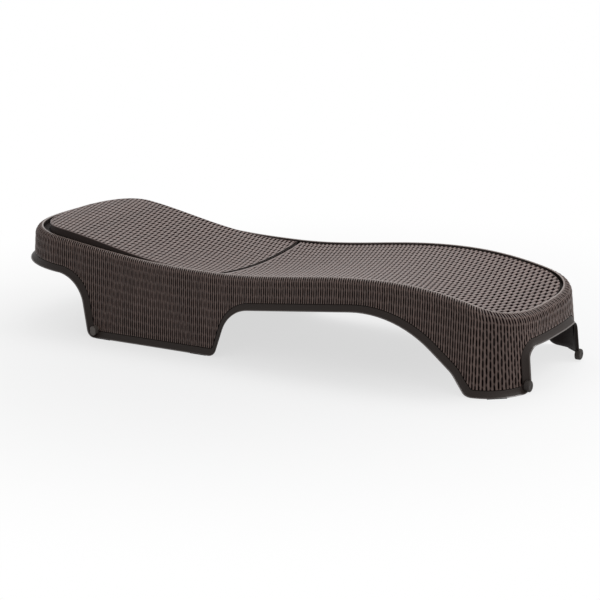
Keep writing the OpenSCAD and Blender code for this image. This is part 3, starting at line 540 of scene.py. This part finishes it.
def part_looks(obj, looks):
    """Gives a sweep one look after another and each face the one that its number asks for."""
    index = np.zeros(len(obj.data.polygons), np.int32)
    number = np.arange(len(index))
    for k, (look, chosen) in enumerate(looks):
        obj.data.materials.append(look)
        index[chosen(number)] = k + 1
    obj.data.polygons.foreach_set("material_index", index)


def round_profile(around, places):
    """Chooses the faces of a sweep by their place round its profile."""
    return lambda number: np.isin(number % around, list(places))


def capped_faces(count, around):
    """Quads between rings of points, with both ends closed."""
    first, last = tuple(range(around))[::-1], tuple((count - 1) * around + j for j in range(around))
    return ring_faces(count, around, False) + [first, last]


def body_wall():
    """The smooth wall of the body: sections round the near half, mirrored to the far half."""
    near = [body_ring(at, s) for at, s in EDGE]
    far = [[(x, -y, z) for x, y, z in ring] for ring in near[-2:0:-1]]
    rings = near + far
    points = np.array(rings).reshape(-1, 3)
    return new_mesh("body_wall", points, ring_faces(len(rings), len(near[0]), True), sharp=40)


def deck_edge(x):
    """Height of the deck's long edge, just under the rim."""
    return rim_z(x) - DECK_INSET


def deck_z(x, y):
    """Height of the deck, dished across, less so towards the foot end."""
    dish = DISH + (DECK_DISH_END - DISH) * (x - DECK_START) / (DECK_REACH - DECK_START)
    return deck_edge(x) - dish * (1 - (y / DECK_HALF) ** 2)


def back_share(x):
    """Share of the way from the seam to the head end of the backrest."""
    return np.clip((BACK_END - x) / (BACK_END + BACK_REACH), 0, None)


def back_edge(x):
    """Height of the backrest's long edge, which rises towards the head."""
    low = HOLLOW_RIM_Z - DECK_INSET
    return low + (BACK_TOP_Z - low) * np.sin(np.radians(90 * back_share(x) ** BACK_BEND)) ** 2


def back_z(x, y):
    """Height of the backrest, dished across, less so towards the head."""
    return back_edge(x) - DISH * (1 - back_share(x)) * (1 - (y / BACK_HALF) ** 2)


def deck_flange(x):
    return LEDGE_DROP - DECK_INSET - DECK_SEAT_GAP + 0 * x


def back_flange(x):
    """The backrest's flange deepens with the wedge that opens between it and the ledge."""
    return np.maximum(BACK_FLANGE_END, back_edge(x) - rim_z(x) + LEDGE_DROP - BACK_REST_GAP)


def deck_ribs(x):
    """The deck's ribs run out before the ledge round the foot end."""
    return float(np.clip(RIB_RUN_OUT * (REACH - LEDGE_IN - RIB_CLEAR - x), 1, RIB_DEEP))


def back_ribs(x):
    return RIB_DEEP


def deck_half(x):
    """Half width of the deck, with the foot end's round."""
    t = np.clip((x - (DECK_REACH - FOOT_ROUND)) / FOOT_ROUND, 0, 1)
    return DECK_HALF * (1 - t ** FOOT_POWER) ** (1 / FOOT_POWER)


def back_half(x):
    """Half width of the backrest, with the head end's round."""
    t = np.clip((BACK_ROUND - BACK_REACH - x) / BACK_ROUND, 0, 1)
    return BACK_HALF * (1 - t ** BACK_POWER) ** (1 / BACK_POWER)


def panel_loop(x_seam, x_end, half_of, step=10.0):
    """Outline of a panel in plan, once round: across the seam, along a side, round the end and back."""
    toward = 1 if x_end > x_seam else -1
    straight = np.arange(0, abs(x_end - x_seam) - FOOT_ROUND, step)
    turn = np.sin(np.linspace(0, math.pi / 2, PANEL_TURN_STEPS)) * FOOT_ROUND
    run = np.concatenate([straight, abs(x_end - x_seam) - FOOT_ROUND + turn])
    x = x_seam + toward * run
    near = np.stack([x, -half_of(x)], -1)
    near[-1, 1] = 0
    far = near[-2::-1] * [1, -1]
    seam_half = half_of(np.array([x_seam]))[0]
    seam_y = np.linspace(-seam_half, seam_half, SEAM_STEPS)[1:-1]
    seam = np.stack([np.full_like(seam_y, x_seam), seam_y], -1)[::-1]
    return np.concatenate([near, far, seam])


def on_seam(loop, seam):
    """Which points of a panel's outline lie on the seam."""
    return np.abs(loop[:, 0] - seam) < 0.01


def outward(loop):
    """Outward normals of a closed loop of plan points."""
    ahead, behind = np.roll(loop, -1, 0), np.roll(loop, 1, 0)
    e1, e2 = ahead - loop, loop - behind
    e1 /= np.linalg.norm(e1, axis=1, keepdims=True)
    e2 /= np.linalg.norm(e2, axis=1, keepdims=True)
    mean = e1 + e2
    mean /= np.linalg.norm(mean, axis=1, keepdims=True)
    normal = np.stack([mean[:, 1], -mean[:, 0]], -1)
    middle = loop.mean(0)
    if np.sum(normal * (loop - middle)) < 0:
        normal = -normal
    miter = 1 / np.clip(np.abs(np.sum(mean * e1, 1)), MITER_LEAST, 1)
    return normal * miter[:, None]


def panel_border(name, loop, seam, height_of, flange, body):
    """Rounded smooth edge of a panel: a closed sweep round its outline, thin and low at the seam."""
    normal = outward(loop)
    thinned = on_seam(loop, seam) & (np.abs(loop[:, 1]) < np.abs(loop[0, 1]) - FLANGE_T)
    rings = []
    for p, n, thin in zip(loop, normal, thinned):
        z = float(height_of(p[0], p[1])) - (SEAM_SUNK if thin else 0)
        low = SEAM_SUNK - UNDERSIDE if thin else -float(flange(p[0]))
        profile = [(0, low)] + BORDER_TOP + [(BORDER_IN, low)]
        rings.append([(p[0] + n[0] * o, p[1] + n[1] * o, z + dz) for o, dz in profile])
    return new_mesh(name, np.array(rings).reshape(-1, 3), ring_faces(len(rings), len(profile), True),
                    sharp=50, body=body)


def panel_weave(name, x0, x1, half_of, height_of, body, phase):
    """Woven top of a panel: strands run across it, side by side along its length."""
    count = round(abs(x1 - x0) / PANEL_STRAND)
    pitch = (x1 - x0) / count
    strand, across = strand_samples(0, count, PANEL_SAMPLES)
    x = x0 + (strand + 0.5 + across) * pitch
    half = np.maximum(0.5, half_of(x) - WEAVE_MARGIN)
    limit = ROW * math.ceil(half.max() / ROW)
    levels = np.arange(-limit, limit + 1e-6, ROW / ROW_SAMPLES)
    y, index, keep = clipped_grid(levels, -half, half)
    X = x[None, :] + 0 * y
    row = y / ROW + phase
    selvedge = np.clip(strand + 0.5 + across, 0, 1)[None, :]
    height = weave_height(strand[None, :] + 0 * y, across[None, :] + 0 * y, row) * selvedge
    # Painted shade: the deeper a point lies below the crown, the darker it shows
    dark = np.clip(-height / (SLOT_DEEP + CROWN), 0, 1)
    for tip_x, tip_y in SCREW_TIPS:
        over = np.hypot(X - tip_x, np.abs(y) - tip_y) < TIP_REACH
        height = np.where(over, np.maximum(height, -TIP_COVER), height)
    sx = (height_of(X + SLOPE_STEP, y) - height_of(X - SLOPE_STEP, y)) / (2 * SLOPE_STEP)
    sy = (height_of(X, y + SLOPE_STEP) - height_of(X, y - SLOPE_STEP)) / (2 * SLOPE_STEP)
    size = np.sqrt(1 + sx ** 2 + sy ** 2)
    points = np.stack([X - sx * height / size, y - sy * height / size, height_of(X, y) + height / size], -1)
    tones = strand_random.uniform(0, 1, count + 1)[strand]
    return woven_mesh(name, points, keep, index, dark, tones, strand + 0.5 + across, row,
                      body=body)


def panel_base(name, x_seam, x_end, half_of, height_of, flange, ribs, body):
    """Moulded panel under the weave: a thin dished sheet with an edge flange and five ribs."""
    toward = 1 if x_end > x_seam else -1
    span = abs(x_end - x_seam)
    turn = np.sin(np.linspace(0, math.radians(BASE_TURN_END), BASE_TURNS)) * FOOT_ROUND
    runs = np.concatenate([np.linspace(0, span - FOOT_ROUND, BASE_RUNS)[:-1], span - FOOT_ROUND + turn])
    shares = 2 * np.arange(BASE_ACROSS + 1) / BASE_ACROSS - 1
    rings = []
    for x in x_seam + toward * runs:
        w = float(half_of(np.array([x]))[0]) - BASE_MARGIN
        foot, deep = float(height_of(x, w)) - float(flange(x)), ribs(x)
        inner = w - FLANGE_T
        under = float(height_of(x, inner)) - UNDERSIDE
        ring = [(x, w * k, float(height_of(x, w * k)) - RECESS) for k in shares]
        ring += [(x, w, foot), (x, inner, foot), (x, inner, under)]
        for share in RIB_SHARES[::-1]:
            y, h = share * w, float(height_of(x, share * w)) - UNDERSIDE
            ring += [(x, y + RIB_T / 2, h), (x, y + RIB_T / 2, h - deep),
                     (x, y - RIB_T / 2, h - deep), (x, y - RIB_T / 2, h)]
        ring += [(x, -inner, under), (x, -inner, foot), (x, -w, foot)]
        rings.append(ring)
    faces = capped_faces(len(rings), len(rings[0]))
    return new_mesh(name, np.array(rings).reshape(-1, 3), faces, sharp=40, body=body)


def toe(name, y):
    """Round moulded toe on the end face of a foot leg, facing the foot end."""
    turns = np.linspace(0, 2 * math.pi, TOE_STEPS, endpoint=False)
    points = [(x, y + TOE_R * k * math.cos(a), TOE_Z + TOE_R * k * math.sin(a))
              for x, k in TOE_ROUNDS for a in turns]
    return new_mesh(name, points, capped_faces(len(TOE_ROUNDS), TOE_STEPS), sharp=30)


# Materials: noise as scale, detail and roughness, bump as strength and distance in metres, and the
# weights of strand tone, grain and cloud in the colour and of grain or cloud in the roughness
STRAND_STRETCH, STRAND_GRAIN, STRAND_CLOUD = (9.0, 1.3, 1.0), (1.0, 5.0, 0.65), (14.0, 3.0)
STRAND_BUMP = (0.35, 0.0006)
PLAIN_CLOUD, PLAIN_DETAIL, PLAIN_BUMP = (9.0, 5.0), 3.0, (0.12, 0.0004)
BY_TONE, BY_GRAIN, BY_CLOUD, PLAIN_BY_CLOUD, PLAIN_BY_GRAIN = 0.45, 0.45, 0.2, 0.7, 0.3
STRAND_UNEVEN, PLAIN_UNEVEN = 0.18, 0.2


def material(name):
    made = bpy.data.materials.new(name)
    made.use_nodes = True
    nodes = made.node_tree.nodes
    return made, nodes, made.node_tree.links, nodes["Principled BSDF"]


def ramp(nodes, low, high):
    """Black below the place low, white above the place high."""
    node = nodes.new("ShaderNodeValToRGB")
    for element, place, grey in zip(node.color_ramp.elements, (low, high), (0, 1)):
        element.position, element.color = place, (grey, grey, grey, 1)
    return node


def noise(nodes, links, coords, scale, detail, rough=0.6):
    """Noise value at the coordinates."""
    node = nodes.new("ShaderNodeTexNoise")
    node.inputs["Scale"].default_value = scale
    node.inputs["Detail"].default_value = detail
    node.inputs["Roughness"].default_value = rough
    links.new(coords, node.inputs["Vector"])
    return node.outputs["Fac"]


def math_node(nodes, links, operation, a, b):
    """Result of an operation on two sockets or numbers."""
    node = nodes.new("ShaderNodeMath")
    node.operation = operation
    for socket, value in zip(node.inputs, (a, b)):
        if isinstance(value, (int, float)):
            socket.default_value = value
        else:
            links.new(value, socket)
    return node.outputs[0]


def weighted(nodes, links, *terms):
    """Sum of values, each times its weight."""
    parts = [math_node(nodes, links, "MULTIPLY", value, weight) for value, weight in terms]
    total = parts[0]
    for part in parts[1:]:
        total = math_node(nodes, links, "ADD", total, part)
    return total


def colour_mix(nodes, links, factor, a, b):
    """Mix of two colours, each a socket or a tuple."""
    node = nodes.new("ShaderNodeMix")
    node.data_type = "RGBA"
    for socket, value in ((node.inputs[0], factor), (node.inputs[6], a), (node.inputs[7], b)):
        if isinstance(value, tuple):
            socket.default_value = (*value, 1)
        else:
            links.new(value, socket)
    return node.outputs[2]


def attribute(nodes, name):
    node = nodes.new("ShaderNodeAttribute")
    node.attribute_name = name
    return node.outputs["Fac"]


def add_bump(nodes, links, shader, height, strength, distance):
    bump = nodes.new("ShaderNodeBump")
    bump.inputs["Strength"].default_value = strength
    bump.inputs["Distance"].default_value = distance
    links.new(height, bump.inputs["Height"])
    links.new(bump.outputs["Normal"], shader.inputs["Normal"])


def weave_material(name, light, dark, slot_painted_shade, rough, specular, slots):
    """Moulded resin strands: tone by strand, painted shade in the slots and on the flanks, fine lengthwise
    grain and a soft gloss.
    """
    made, nodes, links, shader = material(name)
    coords = nodes.new("ShaderNodeTexCoord").outputs["Object"]
    cells = nodes.new("ShaderNodeUVMap")
    cells.uv_map = "strands"
    stretch = nodes.new("ShaderNodeMapping")
    stretch.inputs["Scale"].default_value = STRAND_STRETCH
    links.new(cells.outputs["UV"], stretch.inputs["Vector"])
    grain = noise(nodes, links, stretch.outputs["Vector"], *STRAND_GRAIN)
    cloud = noise(nodes, links, coords, *STRAND_CLOUD)
    tone = attribute(nodes, "tone")
    lightness = weighted(nodes, links, (tone, BY_TONE), (grain, BY_GRAIN), (cloud, BY_CLOUD))
    base = colour_mix(nodes, links, lightness, dark, light)
    # Painted shade: the base colour turns to the near-black slot colour where the value deep is high
    slot_ramp = ramp(nodes, *slots)
    links.new(attribute(nodes, "deep"), slot_ramp.inputs["Fac"])
    in_slot = slot_ramp.outputs["Color"]
    links.new(colour_mix(nodes, links, in_slot, base, slot_painted_shade), shader.inputs["Base Color"])
    # The slots are matt, and they mirror nothing
    strand_rough = math_node(nodes, links, "ADD", weighted(nodes, links, (grain, STRAND_UNEVEN)), rough)
    links.new(math_node(nodes, links, "MAXIMUM", strand_rough, in_slot), shader.inputs["Roughness"])
    on_strand = math_node(nodes, links, "SUBTRACT", 1.0, in_slot)
    links.new(weighted(nodes, links, (on_strand, specular)), shader.inputs["Specular IOR Level"])
    add_bump(nodes, links, shader, grain, *STRAND_BUMP)
    return made


def plain_material(name, light, dark, rough, metallic=0.0, grain_scale=220.0, specular=0.5):
    """Moulded plastic, rubber or metal: cloudy tone, fine grain and uneven gloss."""
    made, nodes, links, shader = material(name)
    coords = nodes.new("ShaderNodeTexCoord").outputs["Object"]
    cloud = noise(nodes, links, coords, *PLAIN_CLOUD)
    grain = noise(nodes, links, coords, grain_scale, PLAIN_DETAIL)
    lightness = weighted(nodes, links, (cloud, PLAIN_BY_CLOUD), (grain, PLAIN_BY_GRAIN))
    links.new(colour_mix(nodes, links, lightness, dark, light), shader.inputs["Base Color"])
    uneven = math_node(nodes, links, "ADD", weighted(nodes, links, (cloud, PLAIN_UNEVEN)), rough)
    links.new(uneven, shader.inputs["Roughness"])
    shader.inputs["Metallic"].default_value = metallic
    shader.inputs["Specular IOR Level"].default_value = specular
    add_bump(nodes, links, shader, grain, *PLAIN_BUMP)
    return made


# The slots, the strands' flanks and the places where they pass under darken towards a near-black colour:
# painted shade
body_weave = weave_material("body_weave", (0.136, 0.088, 0.074), (0.066, 0.041, 0.034),
                            (0.003, 0.002, 0.002), 0.22, 0.42, (0.10, 0.60))
# The deck's and backrest's weave is a little lighter than the skirt's, though one plastic: painted light on
# the top, painted shade on the sides
panel_weave_look = weave_material("panel_weave", (0.152, 0.097, 0.084), (0.080, 0.048, 0.040),
                                  (0.004, 0.002, 0.002), 0.22, 0.7, (0.15, 0.52))
smooth_brown = plain_material("smooth_brown", (0.022, 0.015, 0.012), (0.014, 0.009, 0.007), 0.44,
                              specular=0.22)
# Much lighter than the lip: a painted highlight on the rim bead, beside its real gloss
rim_painted_highlight = plain_material("rim_painted_highlight", (0.190, 0.146, 0.130), (0.140, 0.105, 0.092), 0.18, specular=0.7)
# Lighter than the lip: a painted highlight on the lip's lower edge, beside its real gloss
lip_edge_painted_highlight = plain_material("lip_edge_painted_highlight", (0.070, 0.053, 0.046), (0.048, 0.036, 0.031), 0.22, specular=0.7)
panel_edge = plain_material("panel_edge", (0.080, 0.047, 0.040), (0.050, 0.029, 0.025), 0.36)
frame_brown = plain_material("frame_brown", (0.030, 0.018, 0.015), (0.018, 0.011, 0.009), 0.5)
bearing_black = plain_material("bearing_black", (0.018, 0.017, 0.017), (0.010, 0.009, 0.009), 0.42)
bright_steel = plain_material("bright_steel", (0.62, 0.63, 0.64), (0.45, 0.46, 0.47), 0.22, 1.0)
tube_grey = plain_material("tube_grey", (0.36, 0.37, 0.38), (0.26, 0.27, 0.28), 0.32, 0.9, 120.0)
# Painted shade for the wall's recess and inside faces, the panel borders' inner walls and undersides, and the
# seam
recess_painted_shade = plain_material("recess_painted_shade", (0.016, 0.010, 0.009), (0.009, 0.006, 0.005), 0.6, specular=0.15)
peg_grey = plain_material("peg_grey", (0.095, 0.080, 0.070), (0.065, 0.054, 0.048), 0.35)
toe_grey = plain_material("toe_grey", (0.032, 0.026, 0.023), (0.021, 0.017, 0.015), 0.44, specular=0.25)
# Painted shade for the panel borders' flange face and the deck's whole border
panel_border_painted_shade = plain_material("panel_border_painted_shade", (0.022, 0.014, 0.012), (0.013, 0.008, 0.007), 0.6, specular=0.15)
rubber_black = plain_material("rubber_black", (0.014, 0.014, 0.014), (0.008, 0.008, 0.008), 0.7)

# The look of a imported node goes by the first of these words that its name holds
NODE_LOOKS = (("screw", bright_steel), ("pin", bright_steel), ("prop_frame", tube_grey),
              ("bumper", rubber_black), ("glide", rubber_black), ("bearing", bearing_black),
              ("peg", peg_grey))


def dress(obj, look):
    obj.data.materials.clear()
    obj.data.materials.append(look)


for name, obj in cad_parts.items():
    dress(obj, next((look for word, look in NODE_LOOKS if word in name), frame_brown))

# The body: a smooth wall with rim and lips, and the woven skin in four parts
wall = body_wall()
dress(wall, smooth_brown)
# Painted shade darkens the wall's hidden recess under the skin and its inside faces; a painted highlight
# lightens the rim bead and the lip's edge
part_looks(wall, ((recess_painted_shade, round_profile(WALL_AROUND, WALL_PAINTED_SHADE)),
                  (rim_painted_highlight, round_profile(WALL_AROUND, WALL_RIM)),
                  (lip_edge_painted_highlight, round_profile(WALL_AROUND, WALL_EDGE))))
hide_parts("body_shell")
quarter = RING_STRANDS // 4
for k in range(4):
    count = quarter if k < 3 else RING_STRANDS - 3 * quarter
    dress(skirt_weave(f"skirt_weave_{k + 1}", k * quarter, count), body_weave)

for name, y in (("toe_near", -TOE_Y), ("toe_far", TOE_Y)):
    dress(toe(name, y), toe_grey)

# The seat deck and the backrest
for name, seam, end, half_of, height_of, flange, ribs, body, phase in (
        ("deck", DECK_START, DECK_REACH, deck_half, deck_z, deck_flange, deck_ribs, "base", 0.0),
        ("back", BACK_END, -BACK_REACH, back_half, back_z, back_flange, back_ribs, "back", 0.5)):
    base = panel_base(name + "_base", seam, end, half_of, height_of, flange, ribs, body)
    dress(base, frame_brown)
    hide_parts("seat_deck" if name == "deck" else "back_panel")
    loop = panel_loop(seam, end, half_of)
    at_seam = np.repeat(on_seam(loop, seam), BORDER_AROUND)
    border = panel_border(name + "_border", loop, seam, height_of, flange, body)
    # Painted shade darkens the deck's whole border, both borders' flange face, inner wall and underside, and
    # the border along the seam
    dress(border, panel_border_painted_shade if name == "deck" else panel_edge)
    part_looks(border, ((panel_border_painted_shade, round_profile(BORDER_AROUND, BORDER_FLANGE)),
                        (recess_painted_shade, round_profile(BORDER_AROUND, BORDER_PAINTED_SHADE)),
                        (recess_painted_shade, lambda number: at_seam[number])))
    start = seam + math.copysign(SEAM_EDGE, end - seam)
    weave = panel_weave(name + "_weave", start, end, half_of, height_of, body, phase)
    dress(weave, panel_weave_look)

# Camera, as solved from the photograph
IMAGE_PX, SENSOR = 600, 36.0
FOCAL_PX, CAMERA_FAR, CAMERA_AZ, CAMERA_EL, CAMERA_ROLL = 1875.35, 6.1263, 31.7014, 14.9534, -1.1498
CAMERA_TARGET = Vector((0.0407, 0.0, 0.1291))

# Light: strength of the plain sky, how much the floor near the lounger glows for the camera, and the
# distances over which that glow grows to white
SKY, FLOOR_GLOW, FLOOR_NEAR, FLOOR_FAR, FLOOR_HALF = 0.6, 0.66, 0.35, 2.0, 60
# Lamps: name, place, what each looks at, size, power
LAMPS = (("key", (-0.5, 1.5, 3.4), (0.1, 0, 0.2), (3.0, 2.0), 56),
         ("top", (2.3, 1.2, 2.8), (0.8, 0, 0.2), (1.6, 1.6), 44),
         ("fill", (3.6, -1.5, 2.0), (0.3, 0, 0.2), (2.0, 2.0), 20))


def make_camera():
    """Camera at the photograph's viewing angle, looking at its target."""
    az, el, roll = map(math.radians, (CAMERA_AZ, CAMERA_EL, CAMERA_ROLL))
    back = Vector((math.sin(az) * math.cos(el), -math.cos(az) * math.cos(el), math.sin(el)))
    right = (-back).cross(Vector((0, 0, 1))).normalized()
    up = right.cross(-back)
    right, up = right * math.cos(roll) + up * math.sin(roll), up * math.cos(roll) - right * math.sin(roll)
    data = bpy.data.cameras.new("camera")
    data.sensor_width, data.lens = SENSOR, SENSOR * FOCAL_PX / IMAGE_PX
    data.clip_start, data.clip_end = 0.1, 200
    camera = bpy.data.objects.new("camera", data)
    camera.matrix_world = Matrix.Translation(CAMERA_TARGET + back * CAMERA_FAR) @ Matrix(
        (right, up, back)).transposed().to_4x4()
    bpy.context.scene.collection.objects.link(camera)
    bpy.context.scene.camera = camera


def seen_directly(nodes, links):
    """1 for rays that show the background: from the camera, a mirror or glass."""
    path = nodes.new("ShaderNodeLightPath")
    total = math_node(nodes, links, "ADD", path.outputs["Is Camera Ray"], path.outputs["Is Glossy Ray"])
    total = math_node(nodes, links, "ADD", total, path.outputs["Is Transmission Ray"])
    return math_node(nodes, links, "MINIMUM", total, 1.0)


def make_stage():
    """Pale floor that shows nearly white, keeps the soft shadow and runs out to white far off."""
    mesh = bpy.data.meshes.new("floor")
    corners = [(x * FLOOR_HALF, y * FLOOR_HALF, 0) for x, y in ((-1, -1), (1, -1), (1, 1), (-1, 1))]
    mesh.from_pydata(corners, [], [(0, 1, 2, 3)])
    floor = bpy.data.objects.new("floor", mesh)
    bpy.context.scene.collection.objects.link(floor)
    made, nodes, links, shader = material("floor_white")
    shader.inputs["Base Color"].default_value = (0.60, 0.60, 0.604, 1)
    shader.inputs["Roughness"].default_value = 0.9
    shader.inputs["Specular IOR Level"].default_value = 0.1
    white = nodes.new("ShaderNodeEmission")
    white.inputs["Color"].default_value = (1, 1, 1, 1)
    place = nodes.new("ShaderNodeTexCoord").outputs["Object"]
    reach = nodes.new("ShaderNodeVectorMath")
    reach.operation = "LENGTH"
    links.new(place, reach.inputs[0])
    far_off = nodes.new("ShaderNodeMapRange")
    far_off.interpolation_type = "SMOOTHSTEP"
    for socket, value in (("From Min", FLOOR_NEAR), ("From Max", FLOOR_FAR),
                          ("To Min", FLOOR_GLOW), ("To Max", 1.0)):
        far_off.inputs[socket].default_value = value
    links.new(reach.outputs["Value"], far_off.inputs["Value"])
    mix = nodes.new("ShaderNodeMixShader")
    glow = math_node(nodes, links, "MULTIPLY", far_off.outputs["Result"], seen_directly(nodes, links))
    links.new(glow, mix.inputs[0])
    links.new(shader.outputs["BSDF"], mix.inputs[1])
    links.new(white.outputs["Emission"], mix.inputs[2])
    links.new(mix.outputs["Shader"], nodes["Material Output"].inputs["Surface"])
    floor.data.materials.append(made)


def make_light():
    """Soft studio light: a plain sky that shows white, and three lamps."""
    world = bpy.data.worlds.new("studio")
    bpy.context.scene.world = world
    world.use_nodes = True
    nodes, links = world.node_tree.nodes, world.node_tree.links
    sky = nodes["Background"]
    sky.inputs["Color"].default_value = (1, 1, 1, 1)
    sky.inputs["Strength"].default_value = SKY
    white = nodes.new("ShaderNodeBackground")
    white.inputs["Color"].default_value = (1, 1, 1, 1)
    white.inputs["Strength"].default_value = 1.0
    mix = nodes.new("ShaderNodeMixShader")
    links.new(seen_directly(nodes, links), mix.inputs[0])
    links.new(sky.outputs["Background"], mix.inputs[1])
    links.new(white.outputs["Background"], mix.inputs[2])
    links.new(mix.outputs["Shader"], nodes["World Output"].inputs["Surface"])
    for name, place, look_at, size, power in LAMPS:
        data = bpy.data.lights.new(name, "AREA")
        data.shape, data.size, data.size_y, data.energy = "RECTANGLE", size[0], size[1], power
        lamp = bpy.data.objects.new(name, data)
        lamp.location = place
        lamp.rotation_euler = (Vector(look_at) - Vector(place)).to_track_quat("-Z", "Y").to_euler()
        bpy.context.scene.collection.objects.link(lamp)


make_camera()
make_stage()
make_light()
bpy.context.scene.view_settings.view_transform = "Standard"
